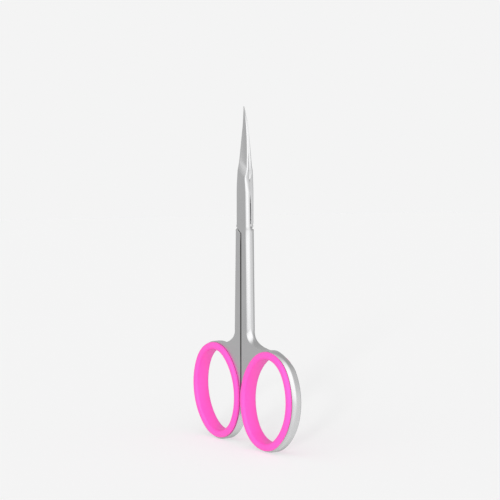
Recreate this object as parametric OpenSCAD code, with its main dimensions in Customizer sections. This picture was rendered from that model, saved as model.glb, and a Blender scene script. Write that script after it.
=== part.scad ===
// Cuticle scissors, closed and upright, with the tips up.
// X is the width, Y the thickness with the front face towards -Y, and Z the length.
// Both halves come from one blank, which is turned half a turn about Z for the rear half.

/* [Overall] */
// Length from the rings' lowest point to the blade tips
overall_len = 117; // [112:0.5:122]
// Height of the pivot axis above the rings' lowest point
pivot_z = 84.5; // [82:0.5:87]
// Thickness of the steel, both laps together
steel_t = 3.4; // [3.2:0.1:3.8]
// Radius of the shanks' rounded outer edges
edge_r = 1.15; // [0.9:0.05:1.4]
// Radius of the rounded edge along the joint's and the blades' spine side
spine_r = 1; // [0.8:0.05:1.2]

/* [Joint] */
// Gap between the two lap faces
lap_gap = 0.04; // [0.02:0.01:0.08]
// Distance from the pivot axis to the lap's spine side
spine_w = 3.1; // [2.9:0.05:3.3]
// Height above the pivot where the blades start to taper
joint_up = 3.5; // [3:0.25:4.5]
// Depth below the pivot of the lap's outer lower corner
joint_down = 8.5; // [7.5:0.25:9.5]
// Slope of the lap's lower edge, in degrees
lap_slope = 37.5; // [32:0.5:42]
// Clearance between the lap's lower edge and the other half's shoulder
shoulder_gap = 0.4; // [0.3:0.05:0.6]

/* [Shanks] */
// Distance from the seam to a shank's outer edge at the joint
shank_top_w = 3.45; // [3.2:0.05:3.8]
// Distance from the seam to a shank's outer edge above its flare
shank_low_w = 4.35; // [4:0.05:4.7]
// Gap between the closed shanks
seam_gap = 0.5; // [0.3:0.05:0.7]
// Radius of the concave flare from the shank to the ring's shoulder
flare_r = 6.25; // [5:0.25:7.5]
// Radius of the path on which the rounded edge runs out at the flare
runout_r = 4.5; // [3.5:0.25:5]

/* [Blades] */
// Width left on each side of the middle at the tips
tip_w = 0.08; // [0.06:0.01:0.2]
// Thickness of one blade at its tip
tip_t = 0.2; // [0.15:0.05:0.5]
// Distance of the cutting edge from the middle, past the neck
edge_w = 1.8; // [1.5:0.05:2]
// Width of the ground bevel along a cutting edge
bevel_w = 0.2; // [0.15:0.05:0.4]
// Height of the flat land at a cutting edge
edge_land = 0.08; // [0.05:0.01:0.15]
// Share of the spine's thickness that is left beside the bevel
hollow = 0.15; // [0.1:0.01:0.4]
// Height above the blade's root where its spine starts to thin
spine_full = 7.2; // [6:0.1:8.5]
// Height above the blade's root where its ground edge starts to thin
edge_full = 4.4; // [3.5:0.1:5.5]
// Thickness that is kept beside the bevel as far as the tip's last part
edge_least = 0.34; // [0.2:0.02:0.5]
// Distance that the tips are set forward
tip_set = 0.35; // [0.2:0.05:0.8]
// Length of the forward curve at the tips
set_len = 8; // [6:0.5:12]

/* [Finger rings] */
// Width of the finger opening inside the insert
open_w = 22.7; // [22:0.1:24]
// Height of the finger opening inside the insert
open_h = 28.4; // [27.5:0.1:30]
// Radius of the opening's two round ends
end_r = 9.7; // [9:0.1:10]
// Outward lean of the rings' upper ends, in degrees
ring_lean = 12.4; // [9:0.1:15]
// Width of the steel band around the insert
band_w = 2.05; // [1.8:0.05:2.4]
// Extra width of the band on the ring's outer side
band_swell = 0.45; // [0:0.05:0.6]
// Radius of the band's outer edges
band_r = 1; // [0.7:0.05:1.2]
// Gap between the closed rings, where they stop each other
stop_gap = 0.2; // [0.1:0.05:0.3]

/* [Ring inserts] */
// Width of the insert's front lip, across the ring
insert_w = 2.8; // [2.5:0.05:3]
// Width of the insert's back lip, across the ring
back_lip_w = 2.3; // [2.1:0.05:2.8]
// Depth of the insert, along the pivot axis
insert_depth = 5.8; // [5.2:0.1:6.4]
// Thickness of the insert's wall inside the steel band
insert_wall = 1.2; // [1:0.05:1.4]
// Radius of the insert's rounded lips
insert_r = 1.1; // [0.9:0.05:1.1]
// Radius of the insert's bulging inner face, across its depth
bulge_r = 8; // [6:0.5:12]
// Clearance between the insert and the steel
insert_fit = 0.05; // [0.02:0.01:0.08]

/* [Pivot screw] */
// Diameter of the screw's head
head_d = 4.7; // [4.3:0.1:5]
// Height of the head above its seat
head_h = 1.05; // [0.95:0.05:1.2]
// Depth of the head's counterbore in the rear half
seat_depth = 0.85; // [0.7:0.05:0.95]
// Width of the chamfer round the head
head_chamfer = 0.25; // [0.15:0.05:0.35]
// Width of the driver slot
slot_w = 0.7; // [0.5:0.05:0.9]
// Depth of the driver slot
slot_depth = 0.5; // [0.35:0.05:0.6]
// Diameter of the plain shoulder that the rear half turns on
shoulder_d = 3; // [2.8:0.1:3.4]
// Diameter of the threaded end in the front half
thread_d = 2.4; // [2:0.1:2.6]
// Steel left in front of the threaded hole
thread_floor = 0.4; // [0.3:0.05:0.6]
// Radial clearance of the rear half on the shoulder
pivot_fit = 0.03; // [0.02:0.01:0.06]
// Clearance of the thread in its hole, and of the head on its seat
screw_fit = 0.02; // [0.01:0.01:0.04]
// Clearance round the head in its counterbore
head_fit = 0.1; // [0.05:0.01:0.2]

/* [Hidden] */
$fn = 96;
// Spare length that lets a cut pass right through
over = 1;
// Distance that a rounding's arc stands past the flat faces, so that it meets each along a line
crease = 0.01;

// The opening is an oval of four arcs: two ends and two sides with their centres past the middle
half_w = open_w / 2;
half_h = open_h / 2;
end_off = half_h - end_r;
side_r = (half_w * half_w + half_h * half_h - 2 * half_h * end_r) / (2 * (half_w - end_r));
side_off = side_r - half_w;
side_span = atan(end_off / side_off);
// Offsets from the opening's edge to the steel band's inner and outer edges
band_in = insert_wall + insert_fit;
band_out = band_in + band_w;
// The web's edge runs inside the band, under the band's flat face
web_edge = band_in + (band_w - band_r) / 2;
// The ring's lowest point is at Z = 0, and its inmost point is at half the stop gap
ring_x = side_r + band_out - side_off * cos(ring_lean) + stop_gap / 2;
ring_z = end_r + band_out + end_off * cos(ring_lean);
ring_top = 2 * ring_z;
crown_x = ring_x + end_off * sin(ring_lean);

flare_z = ring_top + flare_r;
root_z = pivot_z + joint_up;
edge_lean = atan((shank_top_w - shank_low_w) / (root_z - flare_z));
slope = tan(lap_slope);
blade_len = overall_len - root_z;
land_t = lap_gap / 2 + edge_land;
// Angles between which the web's edge follows the ring, and the foot of the flare below the ring's top
web_from = 190;
web_to = 94;
foot_drop = band_w / 3;
// Powers of the curves along which the spine, the edge and the kept thickness run to the tip
spine_power = 1.2;
edge_power = 4.3;
least_power = 3;
// Share of the blade over which the joint narrows to the cutting edge, and the power of its curve
neck_share = 0.3;
neck_power = 0.8;
// Power of the curve along which the rounded edge narrows to the bevel
bevel_power = 2;
// Share of the thinning length over which the face is ground down, and the part of it that falls evenly
grind_share = 0.2;
grind_even = 0.4;
// Share of the thickness that goes in the same length before the even taper
thin_drop = 0.2;
// Share of the spine's radius that is lost from root to tip
round_loss = 0.85;
// Most of the blade's thickness and of its spine side that the spine's rounding may take
round_share_t = 0.7;
round_share_w = 0.9;
// Steps along the blade below and past the point where the spine thins, along each of a ring's four arcs,
// round a corner and over the bulge
root_steps = 5;
blade_steps = 11;
arc_steps = 14;
corner_steps = 3;
bulge_steps = 6;
// Steps in degrees along the web's edge and round the flare
web_step = 8;
flare_step = 10;

// Height of the lap's lower edge at x, and of the shoulder that faces the other half's lap
function lap_low(x) = pivot_z - joint_down - (x + spine_w) * slope;
function shoulder(x) = lap_low(-x) - shoulder_gap;
// A point of the ring's oval at an offset, for a normal at the given angle
function oval_centre(a) =
    abs(cos(a)) >= cos(side_span) ? [-sign(cos(a)) * side_off, 0] : [0, sign(sin(a)) * end_off];
function oval_radius(a) = abs(cos(a)) >= cos(side_span) ? side_r : end_r;
function oval_point(off, a) =
    let (p = oval_centre(a) + (oval_radius(a) + off) * [cos(a), sin(a)])
    [ring_x + cos(ring_lean) * p[0] + sin(ring_lean) * p[1],
     ring_z - sin(ring_lean) * p[0] + cos(ring_lean) * p[1]];
// A ring's section: profile points are an offset from the opening's edge and a Y. The offsets past the
// band's inner edge grow by the swell towards the ring's outer side.
function ring_section(profile, swell, a) =
    let (more = swell * pow(max(0, cos(a - ring_lean)), 2))
    [for (p = profile) let (q = oval_point(p[0] + (p[0] > band_in ? more : 0), a)) [q[0], p[1], q[1]]];
function ring_sections(profile, swell = 0) =
    [for (quarter = [0 : 3]) for (k = [0 : arc_steps - 1])
        let (start = quarter * 90 + (quarter % 2 == 0 ? -side_span : side_span - 90),
             span = quarter % 2 == 0 ? 2 * side_span : 180 - 2 * side_span)
        ring_section(profile, swell, start + span * k / arc_steps)];
// A rounded corner of a profile, from one angle to another
function corner(x, y, r, from, to) =
    [for (i = [0 : corner_steps]) let (a = from + (to - from) * i / corner_steps)
        [x + r * cos(a), y + r * sin(a)]];
function bulge(y) = bulge_r - sqrt(bulge_r * bulge_r - y * y);

// The blade's section at a share u of its length, from the root at 0 to the tip at 1
function spine_x(u) = tip_w + (spine_w - tip_w) * (1 - pow(u, spine_power));
function neck(u) = pow(max(0, 1 - u / neck_share), neck_power);
function edge_x(u) =
    tip_w / 2 + (edge_w - tip_w / 2) * (1 - pow(u, edge_power)) + (shank_top_w - edge_w) * neck(u);
// How far along the part past a full-thickness length u is, and the thickness there
function past(u, full) = max(0, (u * blade_len - full) / (blade_len - full));
function thin(f) =
    let (kept = pow(max(0, 1 - f / grind_share), 2))
    tip_t + (steel_t / 2 - tip_t) * (1 - f) * (1 - thin_drop * (1 - kept));
function ease(s) = s * s * (3 - 2 * s);
function spine_t(u) = thin(past(u, spine_full));
function edge_t(u) =
    let (f = past(u, edge_full),
         s = min(1, f / grind_share),
         left = 1 - grind_even * s - (1 - grind_even) * ease(s),
         ground = land_t + (thin(f) - land_t) * (hollow + (1 - hollow) * left))
    max(edge_least * (1 - pow(f, least_power)), ground);
function bevel(u) = min(edge_x(u) / 2, bevel_w + (edge_r - bevel_w) * pow(neck(u), bevel_power));
function land(u) = land_t + (steel_t / 2 - edge_r - land_t) * neck(u);
function round_r(u) =
    min(spine_r * (1 - round_loss * u) * spine_t(u) / (steel_t / 2),
        round_share_t * (spine_t(u) - lap_gap / 2),
        round_share_w * spine_x(u));
function set_back(z) = let (d = max(0, z - overall_len + set_len)) tip_set * d * d / (set_len * set_len);

// set_dir is 1 where the tip curves towards the blade's face, and -1 where it curves away from it
function blade_section(u, set_dir) =
    let (z = root_z + u * blade_len, y = -set_dir * set_back(z), r = round_r(u), b = bevel(u), h = land(u))
    concat(
        [[-spine_x(u), y - lap_gap / 2, z]],
        [for (p = corner(r - spine_x(u), y + r - spine_t(u), r, 180, 270)) [p[0], p[1], z]],
        [for (i = [0 : corner_steps]) let (a = 90 * i / corner_steps)
            [edge_x(u) - b + b * sin(a), y - h - (edge_t(u) - h) * cos(a), z]],
        [[edge_x(u), y - lap_gap / 2, z]]);

// Joins a list of sections with the same number of points into one solid, or into a closed ring
module loft(sections, closed = false) {
    n = len(sections[0]);
    count = len(sections);
    points = [for (s = sections) each s];
    walls = [for (k = [0 : count - (closed ? 1 : 2)]) for (i = [0 : n - 1])
        let (j = (i + 1) % n, here = k * n, next = ((k + 1) % count) * n)
        each [[here + i, next + j, here + j], [here + i, next + i, next + j]]];
    ends = [[for (i = [0 : n - 1]) i], [for (i = [n - 1 : -1 : 0]) (count - 1) * n + i]];
    polyhedron(points, closed ? walls : concat(walls, ends));
}

module blade(set_dir) {
    taper_from = spine_full / blade_len;
    shares = concat([for (k = [0 : root_steps - 1]) taper_from * k / root_steps],
                    [for (k = [0 : blade_steps]) taper_from + (1 - taper_from) * k / blade_steps]);
    loft([for (u = shares) blade_section(u, set_dir)]);
}

// Outline of lap, shank, flare and web as X and Z, from the lap's outer lower corner
function blank_outline() =
    concat(
        [[-spine_w, lap_low(-spine_w)], [seam_gap / 2, lap_low(seam_gap / 2)]],
        [[seam_gap / 2, oval_point(web_edge, web_from)[1]]],
        [for (a = [web_from : -web_step : web_to]) oval_point(web_edge, a)],
        [[crown_x, ring_top - foot_drop]],
        [for (a = [270 : -flare_step : 180])
            [shank_low_w + flare_r + flare_r * cos(a), flare_z + flare_r * sin(a)]],
        [[shank_top_w, root_z], [-spine_w, root_z]]);

// Extrudes an outline in X and Z from y_front to y_back
module slab(y_front, y_back) {
    rotate([90, 0, 0])
        translate([0, 0, -y_back])
            linear_extrude(y_back - y_front)
                children();
}

// The two corners that are cut away to round a bar's edge: x is the distance past the edge
module edge_corners(r) {
    for (side = [-1, 1])
        difference() {
            translate([-r, side > 0 ? steel_t / 2 - r : -steel_t / 2 - over])
                square([r + over, r + over]);
            translate([crease - r, side * (steel_t / 2 + crease - r)])
                circle(r);
        }
}

// Rounds the shank's outer edge, and runs the rounding out into the flare's shoulder
module outer_rounding() {
    translate([shank_low_w, 0, flare_z])
        rotate([0, edge_lean, 0]) {
            linear_extrude((root_z - flare_z) / cos(edge_lean) + over)
                edge_corners(edge_r);
            translate([runout_r, 0, 0])
                rotate([90, 0, 0])
                    rotate([0, 0, 180])
                        rotate_extrude(angle = 90)
                            translate([runout_r, 0])
                                mirror([1, 0])
                                    edge_corners(edge_r);
        }
}

// Rounds the lap's spine side
module spine_rounding() {
    translate([-spine_w, 0, lap_low(-spine_w) - over])
        linear_extrude(root_z - lap_low(-spine_w) + 2 * over)
            mirror([1, 0])
                edge_corners(spine_r);
}

// Room for the other half's lap: all that is above the shoulder and behind the lap face
module lap_pocket() {
    slab(-lap_gap / 2, steel_t / 2 + over)
        polygon([[-spine_w - over, shoulder(-spine_w - over)],
                 [shank_low_w + over, shoulder(shank_low_w + over)],
                 [shank_low_w + over, root_z + over],
                 [-spine_w - over, root_z + over]]);
}

function band_profile() =
    let (x = band_out - band_r, y = steel_t / 2 - band_r)
    concat([[band_in, -steel_t / 2]],
           corner(x, -y, band_r, -90, 0),
           corner(x, y, band_r, 0, 90),
           [[band_in, steel_t / 2]]);

function insert_profile() =
    let (groove = steel_t / 2 + insert_fit,
         half_d = insert_depth / 2,
         lip_r = min(insert_r, half_d - groove - insert_fit / 2),
         y = half_d - lip_r,
         inner = bulge(y) + lip_r)
    concat(corner(inner, -y, lip_r, 180, 270),
           corner(insert_w - lip_r, -y, lip_r, 270, 360),
           [[insert_w, -groove], [insert_wall, -groove], [insert_wall, groove], [back_lip_w, groove]],
           corner(back_lip_w - lip_r, y, lip_r, 0, 90),
           corner(inner, y, lip_r, 90, 180),
           [for (k = [1 : bulge_steps - 1]) let (b = y - 2 * y * k / bulge_steps) [bulge(b), b]]);

module half_blank(set_dir) {
    difference() {
        slab(-steel_t / 2, steel_t / 2)
            polygon(blank_outline());
        lap_pocket();
        outer_rounding();
        spine_rounding();
    }
    blade(set_dir);
    loft(ring_sections(band_profile(), band_swell), closed = true);
}

module ring_insert() {
    loft(ring_sections(insert_profile()), closed = true);
}

// A cylinder on the pivot axis from y_front to y_back
module pivot_cylinder(d, y_front, y_back) {
    translate([0, y_back, pivot_z])
        rotate([90, 0, 0])
            cylinder(h = y_back - y_front, d = d);
}

thread_front = -steel_t / 2 + thread_floor;
seat_y = steel_t / 2 - seat_depth;

module front_half() {
    color("gainsboro")
        difference() {
            half_blank(set_dir = 1);
            pivot_cylinder(thread_d + 2 * screw_fit, thread_front, over);
        }
}

module rear_half() {
    color("silver")
        difference() {
            rotate([0, 0, 180])
                half_blank(set_dir = -1);
            pivot_cylinder(shoulder_d + 2 * pivot_fit, -over, steel_t);
            pivot_cylinder(head_d + 2 * head_fit, seat_y, steel_t);
        }
}

module pivot_screw() {
    head_y = seat_y + screw_fit;
    color("lightgrey")
        difference() {
            union() {
                pivot_cylinder(thread_d, thread_front + screw_fit, 0);
                pivot_cylinder(shoulder_d, -lap_gap / 2 + screw_fit, head_y);
                pivot_cylinder(head_d, head_y, head_y + head_h - head_chamfer);
                translate([0, head_y + head_h - head_chamfer, pivot_z])
                    rotate([-90, 0, 0])
                        cylinder(h = head_chamfer, d1 = head_d, d2 = head_d - 2 * head_chamfer);
            }
            translate([-head_d, head_y + head_h - slot_depth, pivot_z - slot_w / 2])
                cube([2 * head_d, slot_depth + over, slot_w]);
        }
}

module front_ring_insert() {
    color("hotpink")
        ring_insert();
}

module rear_ring_insert() {
    color("hotpink")
        mirror([1, 0, 0])
            ring_insert();
}

front_half();
rear_half();
pivot_screw();
front_ring_insert();
rear_ring_insert();
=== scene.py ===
import math

import bmesh
import bpy
import numpy as np
from mathutils import Matrix, Vector
from mathutils.geometry import tessellate_polygon


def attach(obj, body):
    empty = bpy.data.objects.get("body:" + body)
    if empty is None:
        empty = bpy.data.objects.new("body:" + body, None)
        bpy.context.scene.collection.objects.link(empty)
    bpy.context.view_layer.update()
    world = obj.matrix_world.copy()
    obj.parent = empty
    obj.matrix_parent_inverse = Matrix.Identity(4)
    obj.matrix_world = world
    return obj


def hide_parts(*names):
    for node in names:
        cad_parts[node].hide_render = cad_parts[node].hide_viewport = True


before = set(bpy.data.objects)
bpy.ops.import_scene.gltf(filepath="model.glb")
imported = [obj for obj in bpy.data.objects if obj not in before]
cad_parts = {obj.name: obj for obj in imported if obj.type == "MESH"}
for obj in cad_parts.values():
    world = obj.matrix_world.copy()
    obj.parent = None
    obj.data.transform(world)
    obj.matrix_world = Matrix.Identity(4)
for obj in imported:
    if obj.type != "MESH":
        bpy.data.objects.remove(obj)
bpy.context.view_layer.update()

# ------------------------------------------------------------------ camera
# The eye stands off the front face's right, a little above the pivot, and the whole tool fills the
# frame's height.
eye = Vector((0.349770, -0.246101, 0.09132))
aim = Vector((0.003127, 0, 0.06787))
camera = bpy.data.objects.new("camera", bpy.data.cameras.new("camera"))
bpy.context.collection.objects.link(camera)
bpy.context.scene.camera = camera
bpy.context.scene.view_settings.view_transform = "Standard"
camera.location = eye
camera.rotation_euler = (aim - eye).to_track_quat("-Z", "Y").to_euler()
camera.data.lens = 89.49
camera.data.sensor_width = 36
camera.data.clip_start = 0.01
camera.data.clip_end = 10

# ------------------------------------------------------------ steel halves
# Each half is one forging of stainless steel: blade, half-lap joint, shank and finger ring. Its
# faces are ground flat and satin, and its outer edges are rounded and polished. The rear half is the
# same forging turned round, with a bore and a counterbore for the screw.
mm = 0.001
half_t = 1.7
lap_y = 0.02
pivot_z, root_z, tip_z = 84.5, 88.0, 117.0
blade_len = tip_z - root_z
spine_w = 3.1
shank_top, shank_low = 3.45, 4.35
flare_r, flare_z = 6.25, 41.04
flare_x = shank_low + flare_r
shank_lean = (shank_low - shank_top) / (root_z - flare_z)
seam_x = 0.25

# The lap's lower edges slope up from a notch at the seam to rounded outer corners
notch_z = 73.42
lap_angle = math.radians(37.5)
lap_slope = math.tan(lap_angle)
lap_miter = math.tan((math.pi / 2 - lap_angle) / 2)
shoulder_r, foot_r = 0.9, 1.2

# The finger opening is an oval of four arcs, leaning outwards. The band round it swells at its side
half_w, half_h, end_r = 11.35, 14.2, 9.7
end_off = half_h - end_r
side_r = (half_w**2 + half_h**2 - 2 * half_h * end_r) / (2 * (half_w - end_r))
side_off = side_r - half_w
side_span = math.atan(end_off / side_off)
ring_lean = math.radians(12.4)
band_in, band_out, ring_gap = 1.25, 3.3, 0.1
ring_x = side_r + band_out - side_off * math.cos(ring_lean) + ring_gap
ring_z = end_r + band_out + end_off * math.cos(ring_lean)
ring_swell, crown_drop = 0.45, 0.2

# Roundings, each of a width and a depth: on the outer edges, the spine, the seam and the ring
edge_b, edge_d = 1.0, 1.4
spine_r = 1.0
seam_r = 0.15
ring_b, ring_d, ring_seam_r = 1.35, 1.3, 0.5
shank_straight, ring_straight = 0.35, 0.5
back_b, back_d = 0.35, 0.4
turns = 8

# Angles in degrees: the flare's arc, where its rounding widens and runs out, and the ring's arc, with
# the crown where it begins
flare_end, flare_step = 263, 3.9
widen_by, widen_from, widen_over = 0.45, 182, 18
runout_from, runout_over = 205, 48
crown_at, seam_from, ring_end, ring_ease = 98, -140, -182, 40
crown_reach, seam_reach, seam_rise = 2.1, 1.6, 5

# The blade: half widths, the bow and the tip's lean, thicknesses, the crease where these start to
# fall, and the hollow of the ground face
spine_tip, spine_power = 0.08, 1.2
edge_tip, edge_w, edge_power = 0.04, 1.8, 4.3
neck_share, neck_power = 0.3, 0.8
bow, bow_z, bow_over = 0.28, 90, 12
tip_lean, lean_z = 0.62, 109
tip_t, thin_drop, thin_share = 0.2, 0.2, 0.2
grind_share, grind_even, grind_left = 0.2, 0.4, 0.15
edge_tip_t, edge_least, least_power = 0.1, 0.45, 6
crease_spine, crease_edge = 95.2, 92.4
face_hollow, hollow_share = 0.07, 0.15

# The blade's roundings: the edge's bevel, the spine's loss towards the tip and behind the joint, and
# the relief that keeps the lap's sides from binding
land, bevel_b, bevel_power = 0.1, 0.2, 2.5
bevel_more, bevel_z, bevel_over = 0.2, 105, 9
round_loss, rear_round, rear_round_z = 0.85, 0.55, 93
relief_deep, relief_rise, relief_end, relief_fall = 0.5, 2.8, 88.5, 7
side_deep_z, side_ease, side_w, side_narrow = 91.5, 4, 0.25, 3

# Shares of polish: the lap, the edges beside it, the shoulder, the ground face and the bores. The
# rings are duller, and the seam's wall gets painted shade, a dark colour for the shade between the
# halves
lap_shine, side_shine, face_shine, bore_shine = 0.3, 0.6, 0.35, 0.5
ledge_shine, ledge_edge = 0.8, 0.4
ring_dull, ring_top, ring_over = 0.75, 33, 4
flare_top, flare_over = 48, 8
# Where the painted shade on the seam's wall begins, and how far it fades in
painted_shade_z, painted_shade_over = 8, 6

edge_stations = (75, 76, 77, 78, 80, 82, 84, 86, 87.5, 88, 89, 90, 91, 91.7, crease_edge)
spine_stations = (77, 78, 80, 82, 84, 86, 87.5, 89, 90.5, 92, 93, 94, crease_spine)
blade_steps, blade_crowding = 30, 1.4
weld, crease_cos = 0.002, 0.82


def held(share):
    return min(1, max(0, share))


def ease(share):
    share = held(share)
    return share * share * (3 - 2 * share)


def mix(a, b, share):
    return a + (b - a) * share


def oval(offset, degrees):
    """Point of the opening's oval at an offset, and the outward normal, which has the given angle."""
    angle = math.radians(degrees)
    c, s = math.cos(angle + ring_lean), math.sin(angle + ring_lean)
    if abs(c) >= math.cos(side_span):
        x, z, r = -math.copysign(side_off, c), 0, side_r
    else:
        x, z, r = 0, math.copysign(end_off, s), end_r
    x, z = x + (r + offset) * c, z + (r + offset) * s
    c, s = math.cos(ring_lean), math.sin(ring_lean)
    point = Vector((ring_x + c * x + s * z, ring_z - s * x + c * z))
    return point, Vector((math.cos(angle), math.sin(angle)))


def along(n):
    """The outline's way at a normal, which is on its left."""
    return Vector((n[1], -n[0]))


def bridge(start, start_n, end, end_n, reach, steps):
    """Stations inside a smooth curve between two points of the outline with the given normals."""
    a, b, c, d = start, start + reach * along(start_n), end - reach * along(end_n), end
    for k in range(1, steps):
        t = k / steps
        p = (1 - t) ** 3 * a + 3 * t * (1 - t) ** 2 * b + 3 * t * t * (1 - t) * c + t**3 * d
        way = ((1 - t) ** 2 * (b - a) + 2 * t * (1 - t) * (c - b) + t * t * (d - c)).normalized()
        yield p, Vector((-way[1], way[0])), seam_r, seam_r


def outer_x(z):
    return shank_low - shank_lean * (z - flare_z)


# Where the shoulder's rounded outer corner meets the shank's side
corner_reach = outer_x(notch_z) - shoulder_r - seam_x
corner_rise = corner_reach * lap_slope - shoulder_r * math.hypot(1, lap_slope)
corner_rise /= 1 + lap_slope * shank_lean
corner_x, corner_z = seam_x + corner_reach - shank_lean * corner_rise, notch_z + corner_rise


def sloping_edge(side, arc, r, b, d, steps):
    """Stations from the notch along a sloping edge and round its outer corner.

    side is 1 where the edge faces up and -1 where it faces down. b and d are the rounding's size
    after the corner, whose centre is arc and whose radius is r.
    """
    notch = Vector((seam_x, notch_z))
    first = Vector((-lap_slope, side)).normalized()
    out = [(notch, Vector((-1, side * lap_miter)), seam_r, seam_r)]
    for w in (0.25, 0.5, 0.75):
        out.append((notch.lerp(arc + r * first, w), first, seam_r, seam_r))
    turn_from = math.atan2(side * first[1], side * first[0])
    for w in np.linspace(0, 1, steps):
        a = turn_from * (1 - w)
        n = side * Vector((math.cos(a), math.sin(a)))
        out.append((arc + r * n, n, mix(seam_r, b, ease(w)), mix(seam_r, d, ease(w))))
    return out


def shoulder_path():
    """Stations of the shoulder behind the other half's lap, from the notch to the shank's side."""
    return sloping_edge(1, Vector((corner_x, corner_z)), shoulder_r, edge_b, edge_d, 9)


def foot_path():
    """Stations of the lap's lower edge, from the notch round its outer corner to the spine side."""
    corner = Vector((-spine_w, notch_z + (spine_w + seam_x) * lap_slope))
    arc = corner + Vector((foot_r, foot_r * lap_miter))
    return sloping_edge(-1, arc, foot_r, spine_r, spine_r, 7)


def half_outline():
    """Stations down the shank, round the ring and up the seam: point, normal, rounding's size."""
    out = []
    for z in np.linspace(corner_z, flare_z + 1, 10):
        out.append((Vector((outer_x(z), z)), Vector((1, 0)), edge_b, edge_d))
    for degrees in np.arange(180, flare_end, flare_step):
        a = math.radians(degrees)
        n = Vector((-math.cos(a), -math.sin(a)))
        left = 1 - ease((degrees - runout_from) / runout_over)
        more = widen_by * ease((degrees - widen_from) / widen_over)
        b, d = mix(seam_r, edge_b + more, left), mix(seam_r, edge_d + more / 2, left)
        out.append((Vector((flare_x, flare_z)) - flare_r * n, n, b, d))
    crown, crown_n = oval(band_out - crown_drop, crown_at)
    out.extend(bridge(*out[-1][:2], crown, crown_n, crown_reach, 8))
    for degrees in np.linspace(crown_at, ring_end, 81):
        swell = 0
        if degrees > -90:
            swell = ring_swell * max(0, math.cos(math.radians(degrees))) ** 2
            swell -= crown_drop * ease((degrees - ring_ease) / ring_ease)
        p, n = oval(band_out + swell, degrees)
        f = ease((crown_at - degrees) / ring_ease) * (1 - ease((seam_from - degrees) / ring_ease))
        outer = ease((n[0] + 0.35) / 0.7)
        b, d = mix(ring_seam_r, ring_b, outer), mix(ring_seam_r, ring_d, outer)
        out.append((p, n, mix(seam_r, b, f), mix(seam_r, d, f)))
    seam, seam_n = Vector((seam_x, out[-1][0][1] + seam_rise)), Vector((-1, 0))
    out.extend(bridge(*out[-1][:2], seam, seam_n, seam_reach, 6))
    for z in np.linspace(seam[1], notch_z, 15)[:-1]:
        out.append((Vector((seam_x, z)), seam_n, seam_r, seam_r))
    return out


def rounding(p, n, b, d, side, straight=0):
    """Points of an edge's rounding, from the flat face on the given side to the wall."""
    out = []
    for w in np.linspace(0, 1, turns + 1):
        t = w * math.pi / 2
        inset = b * (1 - math.sin(t) * (1 - straight) - w * straight)
        deep = d * ((1 - math.cos(t)) * (1 - straight) + w * straight)
        out.append(Vector((p[0] - n[0] * inset, side * (half_t - deep), p[1] - n[1] * inset)))
    return out


def spine_x(z):
    u = max(0, z - root_z) / blade_len
    return mix(spine_tip, spine_w, 1 - u**spine_power)


def neck(z):
    """1 up to the blade's root, falling to 0 where the blade has its own section."""
    return max(0, 1 - max(0, z - root_z) / blade_len / neck_share) ** neck_power


def edge_x(z):
    u = (z - root_z) / blade_len
    if u <= 0:
        return outer_x(z)
    return mix(edge_tip, edge_w, 1 - u**edge_power) + (shank_top - edge_w) * neck(z)


def set_back(z):
    """How far the closed blades stand forward: they bow back a little and lean forward at the tip."""
    lean = tip_lean * max(0, (z - lean_z) / (tip_z - lean_z)) ** 2
    return lean - bow * ease((z - bow_z) / bow_over)


def spine_t(f):
    """The blade's thickness at the spine, at a share of the way from the crease to the tip."""
    kept = 1 - thin_drop + thin_drop * max(0, 1 - f / thin_share) ** 2
    return tip_t + (half_t - tip_t) * (1 - f) * kept


def edge_t(f):
    """The blade's thickness at the edge, which is ground thinner than the spine."""
    t = min(1, f / grind_share)
    ground = 1 - grind_even * t - (1 - grind_even) * ease(t)
    thick = mix(edge_tip_t, spine_t(f), mix(grind_left, 1, ground))
    return max(edge_least * (1 - f**least_power), thick)


class Forging:
    """A half's skin, laid in patches in millimetres. Patches join where their points meet."""

    def __init__(self):
        self.bm = bmesh.new()
        self.polish = self.bm.verts.layers.float.new("polish")
        # This layer marks painted shade: a darkening of the seam's wall where shade falls between the
        # halves
        self.painted_shade = self.bm.verts.layers.float.new("painted_shade")
        self.flat = self.bm.faces.layers.int.new("flat")

    def point(self, p, polish, painted_shade=0):
        v = self.bm.verts.new(p)
        v[self.polish], v[self.painted_shade] = polish, painted_shade
        return v

    def strip(self, rows, polish, finish=None):
        """Lays rows side by side.

        finish gives each row a share of the polish, and of the painted shade off the flats.
        """
        grid = []
        for row, (share, dark) in zip(rows, finish or [(1, 0)] * len(rows)):
            grid.append([
                self.point(p, share * shine, dark * (shine > 0)) for p, shine in zip(row, polish)
            ])
        for low, high in zip(grid, grid[1:]):
            for i in range(len(low) - 1):
                self.bm.faces.new((low[i], low[i + 1], high[i + 1], high[i]))

    def plate(self, *loops, polish=0):
        """Fills a flat face between its outline and the loops inside it."""
        verts = [self.point(p, polish) for loop in loops for p in loop]
        for a, b, c in tessellate_polygon([list(loop) for loop in loops]):
            if len({a, b, c}) == 3:
                self.bm.faces.new((verts[a], verts[b], verts[c]))[self.flat] = 1

    def wall(self, start, end, polish=0):
        """Joins two closed loops."""
        self.strip([[a, b] for a, b in zip(start + start[:1], end + end[:1])], [polish] * 2)


def circle(r, y, count=64):
    """A loop round the pivot."""
    return [
        Vector((r * math.cos(math.tau * k / count), y, pivot_z + r * math.sin(math.tau * k / count)))
        for k in range(count)
    ]


def lap_point(station):
    return Vector((station[0][0], -lap_y, station[0][1]))


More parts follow.
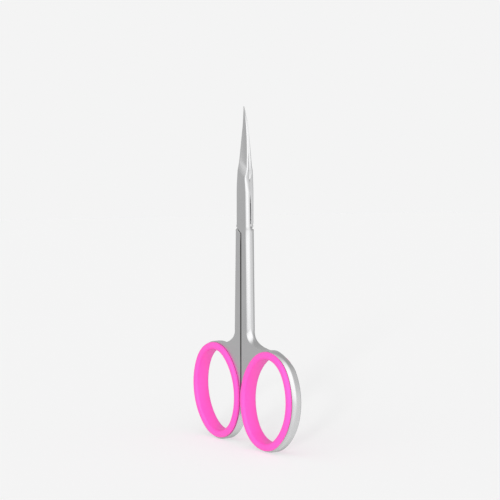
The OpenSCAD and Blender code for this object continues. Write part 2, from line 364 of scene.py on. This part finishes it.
def forge(set_dir, bores):
    """The skin of one half. bores lists each bore's radius and its two ends in Y, from the lap out."""
    skin = Forging()
    rim = [0] + [1] * turns

    def back(p):
        return Vector((p[0], p[1] - set_dir * set_back(p[2]), p[2]))

    def relief(z, reach):
        """How far the lap's side is eased back, so that it doesn't bind, and over what width."""
        rise = held((z - corner_z) / relief_rise)
        return lap_y + relief_deep * rise * held((relief_end - z) / relief_fall), reach * rise

    def edge_row(z, t):
        """The outer edge's rounding, which turns into the blade's bevel, and the lap beside it."""
        x, full = edge_x(z), neck(z)
        h = mix(land, half_t - edge_d, full)
        b = mix(bevel_b, edge_b, full**bevel_power) + bevel_more * ease((z - bevel_z) / bevel_over)
        b = min(0.6 * x, b)
        row = []
        for w in np.linspace(0, 1, turns + 1):
            q = w * math.pi / 2
            inset, deep = mix(w, math.sin(q), full), mix(w, 1 - math.cos(q), full)
            row.append(Vector((x - b + b * inset, -t + (t - h) * deep, z)))
        eased, wide = relief(z, min(1.2, 0.5 * x))
        row += [Vector((x, -min(eased, h), z)), Vector((x - wide, -lap_y, z))]
        return [back(p) for p in row]

    def spine_row(z, t):
        """The lap's edge beside the spine, which turns into a narrow bevel, and the rounding."""
        x = spine_x(z)
        r = spine_r * (1 - round_loss * max(0, z - root_z) / blade_len) * t / half_t
        r = min(r, 0.7 * (t - lap_y), 0.9 * x)
        if set_dir < 0:
            r *= mix(rear_round, 1, ease((z - rear_round_z) / side_ease))
        eased, wide = relief(z, min(1, 0.4 * x))
        eased += t * ease((z - side_deep_z) / side_ease)
        wide = mix(wide, min(side_w, 0.3 * x), ease((z - root_z) / side_narrow))
        row = [Vector((wide - x, -lap_y, z)), Vector((-x, -min(eased, t - r), z))]
        for q in np.linspace(0, math.pi / 2, turns + 1):
            row.append(Vector((r - r * math.cos(q) - x, r - t - r * math.sin(q), z)))
        return [back(p) for p in row]

    # Full-thickness outline below the joint
    rows, station_finish = [], []
    for station in half_outline():
        p, n, b, d = station
        # The seam's wall takes painted shade, rising from its foot
        in_seam = ease((p[1] - painted_shade_z) / painted_shade_over) if n[0] < -0.99 else 0
        ringed = ease((ring_top - p[1]) / ring_over)
        station_finish.append((1 - ring_dull * ringed, in_seam))
        flared = ease((flare_top - p[1]) / flare_over) if n[0] > 0 else 0
        straight = mix(shank_straight, ring_straight, max(ringed, flared))
        rear = rounding(p, n, b * mix(1, back_b, ringed), d * mix(1, back_d, ringed), 1)
        rows.append(rounding(p, n, b, d, -1, straight) + [lap_point(station)] + rear[::-1])
    foot = [[lap_point(station)] * 2 + rounding(*station, -1)[::-1] for station in foot_path()]
    ledge = [[lap_point(station)] + rounding(*station, 1)[::-1] for station in shoulder_path()]
    rows.append(foot[0][:0:-1] + ledge[0][1:])
    station_finish.append(station_finish[-1])
    skin.strip(rows, rim + [side_shine] + rim[::-1], finish=station_finish)
    skin.strip(ledge, [ledge_edge] + [ledge_shine] * turns + [0])

    # Joint and blade: the outer edge, the spine and the ground face between them
    steps = [(k / blade_steps) ** blade_crowding for k in range(blade_steps + 1)]
    low_edge = [edge_row(z, half_t) for z in edge_stations]
    high_edge = [edge_row(mix(crease_edge, tip_z, f), edge_t(f)) for f in steps]
    start = rows[0][: turns + 2] + rows[0][turns + 1 : turns + 2]
    skin.strip([start] + low_edge + high_edge[1:], rim + [side_shine, lap_shine])
    low_spine = [spine_row(z, half_t) for z in spine_stations]
    high_spine = [spine_row(mix(crease_spine, tip_z, f), spine_t(f)) for f in steps]
    skin.strip(foot + low_spine + high_spine[1:], [lap_shine, side_shine] + rim[::-1])
    face, lap = [], []
    for f, spine, edge in zip(steps, high_spine, high_edge):
        hollow = face_hollow * ease(f / hollow_share) * (1 - f)
        face.append([
            spine[-1].lerp(edge[0], w) + Vector((0, 4 * hollow * w * (1 - w), 0))
            for w in np.linspace(0, 1, 9)
        ])
        lap.append([spine[0].lerp(edge[-1], w) for w in (0, 0.5, 1)])
    skin.strip(face, [face_shine] * 9)
    skin.strip(lap, [lap_shine] * 3)
    skin.plate(high_spine[-1] + face[-1][1:-1] + high_edge[-1] + lap[-1][1:2])

    # Flat faces
    hole = [oval(band_in, degrees)[0] for degrees in np.arange(0, 360, 3.75)]
    holes = {y: [Vector((p[0], y, p[1])) for p in hole] for y in (-half_t, half_t)}
    seat = [circle(r, -end) for r, start, end in bores if end == half_t]
    skin.plate(
        [row[0] for row in high_edge[:1] + low_edge[-2::-1] + rows]
        + [row[-1] for row in foot[1:] + low_spine]
        + face[0][1:-1],
        holes[-half_t],
        *seat,
    )
    skin.plate([row[-1] for row in rows + ledge[1:-1]], holes[half_t])
    skin.wall(holes[-half_t], holes[half_t])
    # The lap's face
    skin.plate(
        [row[0] for row in ledge]
        + [row[-1] for row in low_edge]
        + lap[0][1:2]
        + [row[0] for row in low_spine[::-1] + foot[:0:-1]],
        circle(bores[0][0], -lap_y),
        polish=lap_shine,
    )
    # Bores, each with a seat or a floor at its end
    for (r, start, end), wider in zip(bores, bores[1:] + [None]):
        far = circle(r, -end)
        skin.wall(circle(r, -start), far, bore_shine)
        if wider:
            skin.plate(circle(wider[0], -end), far)
        elif end < half_t:
            skin.plate(far)
    return skin.bm


def steel_half(name, node, body, turned, bores):
    bm = forge(-1 if turned else 1, bores)
    bmesh.ops.remove_doubles(bm, verts=bm.verts, dist=weld)
    bmesh.ops.recalc_face_normals(bm, faces=bm.faces)
    turn = Matrix.Rotation(math.pi if turned else 0, 4, "Z")
    bmesh.ops.transform(bm, matrix=turn @ Matrix.Scale(mm, 4), verts=bm.verts)
    mesh = bpy.data.meshes.new(name)
    flat_layer = bm.faces.layers.int["flat"]
    bm.faces.index_update()
    # Flat faces keep one normal, and the roundings run out into it
    normals = []
    for face in bm.faces:
        face.smooth = True
        for loop in face.loops:
            near = [f for f in loop.vert.link_faces if f.normal.dot(face.normal) > crease_cos]
            flats = [f for f in near if f[flat_layer]]
            if face[flat_layer]:
                normals.append(face.normal.copy())
            elif flats:
                normals.append(flats[0].normal.copy())
            else:
                total = sum((f.normal * f.calc_area() for f in near), Vector())
                normals.append(total.normalized())
    bm.to_mesh(mesh)
    bm.free()
    mesh.normals_split_custom_set(normals)
    piece = bpy.data.objects.new(name, mesh)
    bpy.context.collection.objects.link(piece)
    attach(piece, body)
    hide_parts(node)
    return piece


class Socket:
    """A node's output in an expression. Arithmetic on it adds Math nodes to its tree."""

    def __init__(self, nodes, output):
        self.nodes, self.output = nodes, output

    def __add__(self, other):
        return self.nodes.math("ADD", self, other)

    def __sub__(self, other):
        return self.nodes.math("SUBTRACT", self, other)

    def __rsub__(self, other):
        return self.nodes.math("SUBTRACT", other, self)

    def __mul__(self, other):
        return self.nodes.math("MULTIPLY", self, other)

    __radd__, __rmul__ = __add__, __mul__


class Nodes:
    """The nodes of one tree."""

    def __init__(self, tree):
        self.tree = tree

    def add(self, kind, settings=None, inputs=None, out=0):
        node = self.tree.nodes.new(kind)
        for name, value in (settings or {}).items():
            if name == "stops":
                for stop, (place, shade) in zip(node.color_ramp.elements, value):
                    stop.position, stop.color = place, (shade, shade, shade, 1)
            else:
                setattr(node, name, value)
        for name, value in (inputs or {}).items():
            self.feed(node, name, value)
        return Socket(self, node.outputs[out])

    def fill(self, socket, value):
        if isinstance(value, Socket):
            self.tree.links.new(value.output, socket)
        else:
            socket.default_value = value

    def feed(self, node, name, value):
        self.fill(next(s for s in node.inputs if name in (s.identifier, s.name) and s.enabled), value)

    def math(self, operation, *values):
        node = self.tree.nodes.new("ShaderNodeMath")
        node.operation = operation
        for socket, value in zip(node.inputs, values):
            self.fill(socket, value)
        return Socket(self, node.outputs[0])

    def noise(self, place, scale, detail):
        inputs = {"Vector": place, "Scale": scale, "Detail": detail}
        return self.add("ShaderNodeTexNoise", inputs=inputs)

    def shade(self, factor, a, b):
        """A colour between two others. Each is a socket or a red, a green and a blue."""
        a, b = [c if isinstance(c, Socket) else (*c, 1) for c in (a, b)]
        inputs = {"Factor_Float": factor, "A_Color": a, "B_Color": b}
        return self.add("ShaderNodeMix", {"data_type": "RGBA"}, inputs, out=2)

    def bump(self, height, distance, strength):
        inputs = {"Height": height, "Distance": distance, "Strength": strength}
        return self.add("ShaderNodeBump", inputs=inputs)


def finish_of(name, metallic, roughness):
    """A new material, its nodes and its shader."""
    material = bpy.data.materials.new(name)
    material.use_nodes = True
    shader = material.node_tree.nodes["Principled BSDF"]
    shader.inputs["Metallic"].default_value = metallic
    shader.inputs["Roughness"].default_value = roughness
    return material, Nodes(material.node_tree), shader


def steel_finish(name, tone):
    """Satin steel with a grain along the tool. Polish smooths it, and painted shade dulls and darkens
    the seam's wall.
    """
    material, nodes, shader = finish_of(name, 1, 0.3)
    place = nodes.add("ShaderNodeTexCoord", out=3)
    polish = nodes.add("ShaderNodeAttribute", {"attribute_name": "polish"}, out=2)
    painted_shade = nodes.add("ShaderNodeAttribute", {"attribute_name": "painted_shade"}, out=2)

    def stretched(scale, detail, stretch, turn=0):
        inputs = {"Vector": place, "Scale": (1, 1, stretch), "Rotation": (0, turn, 0)}
        return nodes.noise(nodes.add("ShaderNodeMapping", inputs=inputs), scale, detail)

    grain = stretched(3600, 2, 0.05)
    cloud = nodes.noise(place, 170, 3)
    hair = stretched(900, 1, 0.03, 0.5)
    scratch = nodes.add("ShaderNodeValToRGB", {"stops": [(0.66, 0), (0.72, 1)]}, {"Fac": hair})
    satin = 0.3 + (grain - 0.5) * 0.14 + (cloud - 0.5) * 0.12 + scratch * 0.03
    bright = 0.16 + (cloud - 0.5) * 0.08
    nodes.feed(shader, "Roughness", satin * (1 - polish) + bright * polish + painted_shade * 0.3)
    clean = nodes.shade(cloud, [c * 0.96 for c in tone], [c * 1.04 for c in tone])
    # Painted shade: the seam's wall is darkened nearly to black, standing in for the shade between the
    # halves
    nodes.feed(shader, "Base Color", nodes.shade(painted_shade * 0.95, clean, (0.09, 0.085, 0.08)))
    nodes.feed(shader, "Normal", nodes.bump(grain * (1 - polish) + scratch * 0.2, 0.000012, 0.5))
    return material


# Each bore's radius and its ends: the thread's hole, then the pivot's hole and the head's seat
thread_bore = [(1.22, lap_y, 1.3)]
pivot_bores = [(1.53, lap_y, 0.85), (2.45, 0.85, half_t)]
front_half = steel_half("front_half_steel", "front_half", "front_half", False, thread_bore)
rear_half = steel_half("rear_half_steel", "rear_half", "rear_half", True, pivot_bores)
steel_tone = (0.66, 0.66, 0.665)
front_half.data.materials.append(steel_finish("front_steel", steel_tone))
rear_half.data.materials.append(steel_finish("rear_steel", steel_tone))

# ------------------------------------------------------------ ring inserts
# A soft silicone grommet is pressed into each finger ring. Its rounded lips stand proud of both steel
# faces, and its inner face bulges a little towards the finger.
insert_w, back_w, insert_wall, insert_half, bulge_r = 2.8, 2.3, 1.2, 2.9, 8.0
lip_r, lip_inset, groove = 1.1, 0.02, 1.75
sweep_steps, sharp_edge = 144, 0.8


def insert_profile():
    """The grommet's section as offsets from the opening's edge, and depths."""
    y = insert_half - lip_r
    inner = bulge_r - math.sqrt(bulge_r**2 - y * y) + lip_r
    outer, outer_back = insert_w - lip_r, back_w - lip_r
    out = []

    def corner(cx, cy, start, end, count=7):
        for a in np.linspace(math.radians(start), math.radians(end), count):
            out.append((cx + lip_r * math.cos(a), cy + lip_r * math.sin(a)))

    corner(inner, -y, 180, 270)
    corner(outer, -y, 270, 360)
    out.extend([(insert_w - lip_inset, -groove), (insert_wall, -groove)])
    out.extend([(insert_wall, groove), (back_w - lip_inset, groove)])
    corner(outer_back, y, 0, 90)
    corner(inner, y, 90, 180)
    for b in np.linspace(y, -y, 11)[1:-1]:
        out.append((bulge_r - math.sqrt(bulge_r**2 - b * b), b))
    return out


def sweep_tree(material):
    """Sweeps the profile it is given round the finger opening's four-arc oval."""
    tree = bpy.data.node_groups.new("oval sweep", "GeometryNodeTree")
    tree.interface.new_socket("Geometry", in_out="INPUT", socket_type="NodeSocketGeometry")
    for name in ("Half width", "Half height", "End radius"):
        tree.interface.new_socket(name, in_out="INPUT", socket_type="NodeSocketFloat")
    tree.interface.new_socket("Steps", in_out="INPUT", socket_type="NodeSocketInt")
    tree.interface.new_socket("Geometry", in_out="OUTPUT", socket_type="NodeSocketGeometry")
    nodes = Nodes(tree)
    maths = nodes.math
    given = tree.nodes.new("NodeGroupInput")
    profile, wide, high, end, steps = [Socket(nodes, s) for s in given.outputs[:5]]
    end_shift = high - end
    side = maths("DIVIDE", wide * wide + high * high - high * end * 2, (wide - end) * 2)
    side_shift = side - wide
    share = maths("COSINE", maths("ARCTAN2", end_shift, side_shift))
    turn = maths("DIVIDE", nodes.add("GeometryNodeInputIndex") * math.tau, steps)
    c, s = maths("COSINE", turn), maths("SINE", turn)
    on_side = maths("GREATER_THAN", maths("ABSOLUTE", c), share)
    radius = side * on_side + end * (1 - on_side)
    x = radius * c - maths("SIGN", c) * side_shift * on_side
    y = radius * s + maths("SIGN", s) * end_shift * (1 - on_side)
    spot = nodes.add("ShaderNodeCombineXYZ", inputs={"X": x, "Y": y})
    circle_inputs = {"Resolution": steps, "Radius": 0.01}
    ring = nodes.add("GeometryNodeCurvePrimitiveCircle", {"mode": "RADIUS"}, circle_inputs)
    ring = nodes.add("GeometryNodeSetPosition", inputs={"Geometry": ring, "Position": spot})
    section = nodes.add("GeometryNodeMeshToCurve", inputs={"Mesh": profile})
    skin = nodes.add("GeometryNodeCurveToMesh", inputs={"Curve": ring, "Profile Curve": section})
    skin = nodes.add("GeometryNodeSetShadeSmooth", inputs={"Geometry": skin, "Shade Smooth": True})
    skin = nodes.add("GeometryNodeRealizeInstances", inputs={"Geometry": skin})
    skin = nodes.add("GeometryNodeSetMaterial", inputs={"Geometry": skin, "Material": material})
    leaving = tree.nodes.new("NodeGroupOutput")
    tree.links.new(skin.output, leaving.inputs[0])
    return tree


def insert_finish():
    material, nodes, shader = finish_of("silicone_pink", 0, 0.36)
    place = nodes.add("ShaderNodeTexCoord", out=3)
    fine, cloud = nodes.noise(place, 2200, 3), nodes.noise(place, 140, 2)
    nodes.feed(shader, "Base Color", nodes.shade(cloud, (0.88, 0.074, 0.47), (0.95, 0.09, 0.53)))
    nodes.feed(shader, "Roughness", 0.3 + fine * 0.06 + cloud * 0.1)
    nodes.feed(shader, "Normal", nodes.bump(fine, 0.00003, 0.35))
    return material


oval_sweep = sweep_tree(insert_finish())


def shape_of(thing):
    """The mesh that an object's modifiers make."""
    return bpy.data.meshes.new_from_object(thing.evaluated_get(bpy.context.evaluated_depsgraph_get()))


def ring_insert(name, node, body, turned):
    points = [(x * mm, (-y if turned else y) * mm, 0) for x, y in insert_profile()]
    wire = bpy.data.meshes.new(name + "_section")
    wire.from_pydata(points, [(i, (i + 1) % len(points)) for i in range(len(points))], [])
    carrier = bpy.data.objects.new(name + "_sweep", wire)
    bpy.context.collection.objects.link(carrier)
    sweep = carrier.modifiers.new("sweep", "NODES")
    sweep.node_group = oval_sweep
    wanted = {"Half width": half_w * mm, "Half height": half_h * mm, "End radius": end_r * mm}
    wanted["Steps"] = sweep_steps
    for item in oval_sweep.interface.items_tree:
        if item.in_out == "INPUT" and item.name in wanted:
            sweep[item.identifier] = wanted[item.name]
    mesh = shape_of(carrier)
    bpy.data.objects.remove(carrier)
    mesh.name = name
    bm = bmesh.new()
    bm.from_mesh(mesh)
    place = Matrix.Rotation(math.pi if turned else 0, 4, "Z")
    place @= Matrix.Translation((ring_x * mm, 0, ring_z * mm)) @ Matrix.Rotation(ring_lean, 4, "Y")
    place @= Matrix.Rotation(math.pi / 2, 4, "X")
    bmesh.ops.transform(bm, matrix=place, verts=bm.verts)
    bmesh.ops.recalc_face_normals(bm, faces=bm.faces)
    for edge in bm.edges:
        edge.smooth = edge.calc_face_angle(0) < sharp_edge
    bm.to_mesh(mesh)
    bm.free()
    piece = bpy.data.objects.new(name, mesh)
    bpy.context.collection.objects.link(piece)
    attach(piece, body)
    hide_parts(node)


ring_insert("front_insert", "front_ring_insert", "front_half", False)
ring_insert("rear_insert", "rear_ring_insert", "rear_half", True)

# -------------------------------------------------------------- pivot screw
# A slotted shoulder screw of turned and polished steel holds the halves together. Its head sits in the
# rear half's counterbore, and its thread ends blind in the front half.
thread_r, thread_y, pivot_r = 1.2, -1.28, 1.5
head_r, head_h, head_y, head_bevel, head_ease = 2.35, 1.05, 0.87, 0.25, 0.08
head_top = head_y + head_h
slot_half, slot_deep, slot_reach, slot_bevel = 0.35, 0.5, 3, 0.03
screw_sides = 72
screw_profile = [
    (0, thread_y), (thread_r - 0.2, thread_y), (thread_r, thread_y + 0.18), (thread_r, 0),
    (pivot_r, 0), (pivot_r, head_y), (head_r - head_ease, head_y), (head_r, head_y + head_ease),
    (head_r, head_top - head_bevel), (head_r - 0.05, head_top - 0.16),
    (head_r - head_bevel, head_top - 0.03), (head_r - head_bevel - 0.12, head_top), (0, head_top),
]


def screw_mesh():
    """The turned screw, before its slot is cut."""
    bm = bmesh.new()
    rings = []
    for r, y in screw_profile:
        if r == 0:
            rings.append([bm.verts.new((0, y, pivot_z))] * screw_sides)
        else:
            rings.append([bm.verts.new(p) for p in circle(r, y, screw_sides)])
    for low, high in zip(rings, rings[1:]):
        for k in range(screw_sides):
            j = (k + 1) % screw_sides
            corners = [low[k], low[j], high[j], high[k]]
            bm.faces.new([v for i, v in enumerate(corners) if v not in corners[:i]])
    bmesh.ops.recalc_face_normals(bm, faces=bm.faces)
    bmesh.ops.scale(bm, vec=(mm, mm, mm), verts=bm.verts)
    mesh = bpy.data.meshes.new("screw")
    bm.to_mesh(mesh)
    bm.free()
    return mesh


screw = bpy.data.objects.new("screw", screw_mesh())
bpy.context.collection.objects.link(screw)
cutter_mesh = bpy.data.meshes.new("slot_cutter")
cutter_bm = bmesh.new()
for x in (-slot_reach, slot_reach):
    for y in (head_top - slot_deep, slot_reach):
        for z in (-slot_half, slot_half):
            cutter_bm.verts.new((x * mm, y * mm, (pivot_z + z) * mm))
bmesh.ops.convex_hull(cutter_bm, input=cutter_bm.verts)
cutter_bm.to_mesh(cutter_mesh)
cutter_bm.free()
cutter = bpy.data.objects.new("slot_cutter", cutter_mesh)
bpy.context.collection.objects.link(cutter)
slot_cut = screw.modifiers.new("slot", "BOOLEAN")
slot_cut.object, slot_cut.operation, slot_cut.solver = cutter, "DIFFERENCE", "EXACT"
slot_edges = screw.modifiers.new("edges", "BEVEL")
slot_edges.width, slot_edges.segments = slot_bevel * mm, 2
slot_edges.limit_method, slot_edges.angle_limit = "ANGLE", 0.7
screw_shape = shape_of(screw)
screw.modifiers.clear()
screw.data = screw_shape
bpy.data.objects.remove(cutter)
for polygon in screw_shape.polygons:
    polygon.use_smooth = True
screw_shape.set_sharp_from_angle(angle=0.5)


def screw_finish():
    """Polished steel with the fine rings that turning leaves."""
    material, nodes, shader = finish_of("screw_steel", 1, 0.2)
    place = nodes.add("ShaderNodeTexCoord", out=3)
    centred = nodes.add("ShaderNodeMapping", inputs={"Vector": place, "Location": (0, 0, -pivot_z * mm)})
    rings = nodes.add(
        "ShaderNodeTexWave",
        {"wave_type": "RINGS", "rings_direction": "Y"},
        {"Vector": centred, "Scale": 2600, "Distortion": 1.5, "Detail": 2, "Detail Scale": 1.5},
    )
    cloud = nodes.noise(place, 600, 3)
    nodes.feed(shader, "Roughness", 0.17 + rings * 0.06 + cloud * 0.1)
    nodes.feed(shader, "Base Color", nodes.shade(cloud, (0.57, 0.57, 0.575), (0.64, 0.64, 0.645)))
    nodes.feed(shader, "Normal", nodes.bump(rings, 0.00001, 0.4))
    return material


screw_shape.materials.clear()
screw_shape.materials.append(screw_finish())
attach(screw, "front_half")
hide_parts("pivot_screw")

# --------------------------------------------------------- floor and lights
# A pale floor and a pale surround of one tone, a broad soft light behind the eye's left shoulder, and
# a surround that is brighter to the right and above, which the polished edges mirror.
pale = 0.905
floor_share, floor_glow, floor_size = 0.5, 0.546, 2.4
floor_mesh = bpy.data.meshes.new("floor")
floor_bm = bmesh.new()
bmesh.ops.create_grid(floor_bm, x_segments=8, y_segments=8, size=floor_size)
floor_bm.to_mesh(floor_mesh)
floor_bm.free()
floor = bpy.data.objects.new("floor", floor_mesh)
bpy.context.collection.objects.link(floor)
floor_material, floor_nodes, floor_shader = finish_of("floor", 0, 0.9)
floor_shader.inputs["Base Color"].default_value = (*[floor_share * pale] * 3, 1)
floor_shader.inputs["Specular IOR Level"].default_value = 0
floor_shader.inputs["Emission Color"].default_value = (pale, pale, pale, 1)
floor_shader.inputs["Emission Strength"].default_value = floor_glow
# The steel doesn't mirror the floor
seen_by = floor_nodes.tree.nodes.new("ShaderNodeLightPath")
clear = floor_nodes.add("ShaderNodeBsdfTransparent")
veil = floor_nodes.tree.nodes.new("ShaderNodeMixShader")
for source, target in (
    (seen_by.outputs["Is Glossy Ray"], veil.inputs[0]),
    (floor_shader.outputs[0], veil.inputs[1]),
    (clear.output, veil.inputs[2]),
    (veil.outputs[0], floor_nodes.tree.nodes["Material Output"].inputs[0]),
):
    floor_nodes.tree.links.new(source, target)
floor_mesh.materials.append(floor_material)

world = bpy.data.worlds.new("studio")
bpy.context.scene.world = world
world.use_nodes = True
sky = Nodes(world.node_tree)
for node in list(world.node_tree.nodes):
    world.node_tree.nodes.remove(node)
way = sky.add("ShaderNodeTexCoord", out=0)


def towards(azimuth, height):
    """The direction at an azimuth from the front and a height over the horizon, in degrees."""
    a, e = math.radians(azimuth), math.radians(height)
    return Vector((math.sin(a) * math.cos(e), -math.cos(a) * math.cos(e), math.sin(e)))


def rise_of(value, low, high):
    """0 up to the low value and 1 from the high one, with a smooth rise between them."""
    inputs = {"Value": value, "From Min": low, "From Max": high}
    return sky.add("ShaderNodeMapRange", {"interpolation_type": "SMOOTHSTEP"}, inputs)


def glow_from(azimuth, height, edge, full):
    """1 where the surround is seen towards the given direction, easing to 0 away from it."""
    inputs = {"Vector": way, "Vector_001": towards(azimuth, height)}
    facing = sky.add("ShaderNodeVectorMath", {"operation": "DOT_PRODUCT"}, inputs, out=1)
    return rise_of(facing, edge, full)


# The main glow is weaker under the horizon. The others have an azimuth, a height, an edge, a full
# value and a power
raised = rise_of(sky.add("ShaderNodeSeparateXYZ", inputs={"Vector": way}, out=2), -0.16, -0.01)
glow = 0.51 + glow_from(38, 18, 0.27, 0.98) * (0.3 + raised * 0.5)
for azimuth, height, edge, full, power in (
    (-60, 0, 0.2, 0.95, 0.09),
    (30, 50, 0.6, 0.95, 0.25),
    (90, -55, 0, 0.9, 0.45),
    (112, 24, 0.6, 0.97, 0.24),
):
    glow = glow + glow_from(azimuth, height, edge, full) * power
path = sky.tree.nodes.new("ShaderNodeLightPath")
seen = Socket(sky, path.outputs["Is Camera Ray"])
strength = seen * pale + (1 - seen) * glow
backdrop = sky.add("ShaderNodeBackground", inputs={"Color": (1, 1, 1, 1), "Strength": strength})
world_out = sky.tree.nodes.new("ShaderNodeOutputWorld")
sky.tree.links.new(backdrop.output, world_out.inputs["Surface"])

sun = bpy.data.objects.new("key", bpy.data.lights.new("key", "SUN"))
bpy.context.collection.objects.link(sun)
sun.data.angle = math.radians(6)
sun.data.energy = 1.15
sun.visible_glossy = False
sun.rotation_euler = towards(42, 12).to_track_quat("Z", "Y").to_euler()
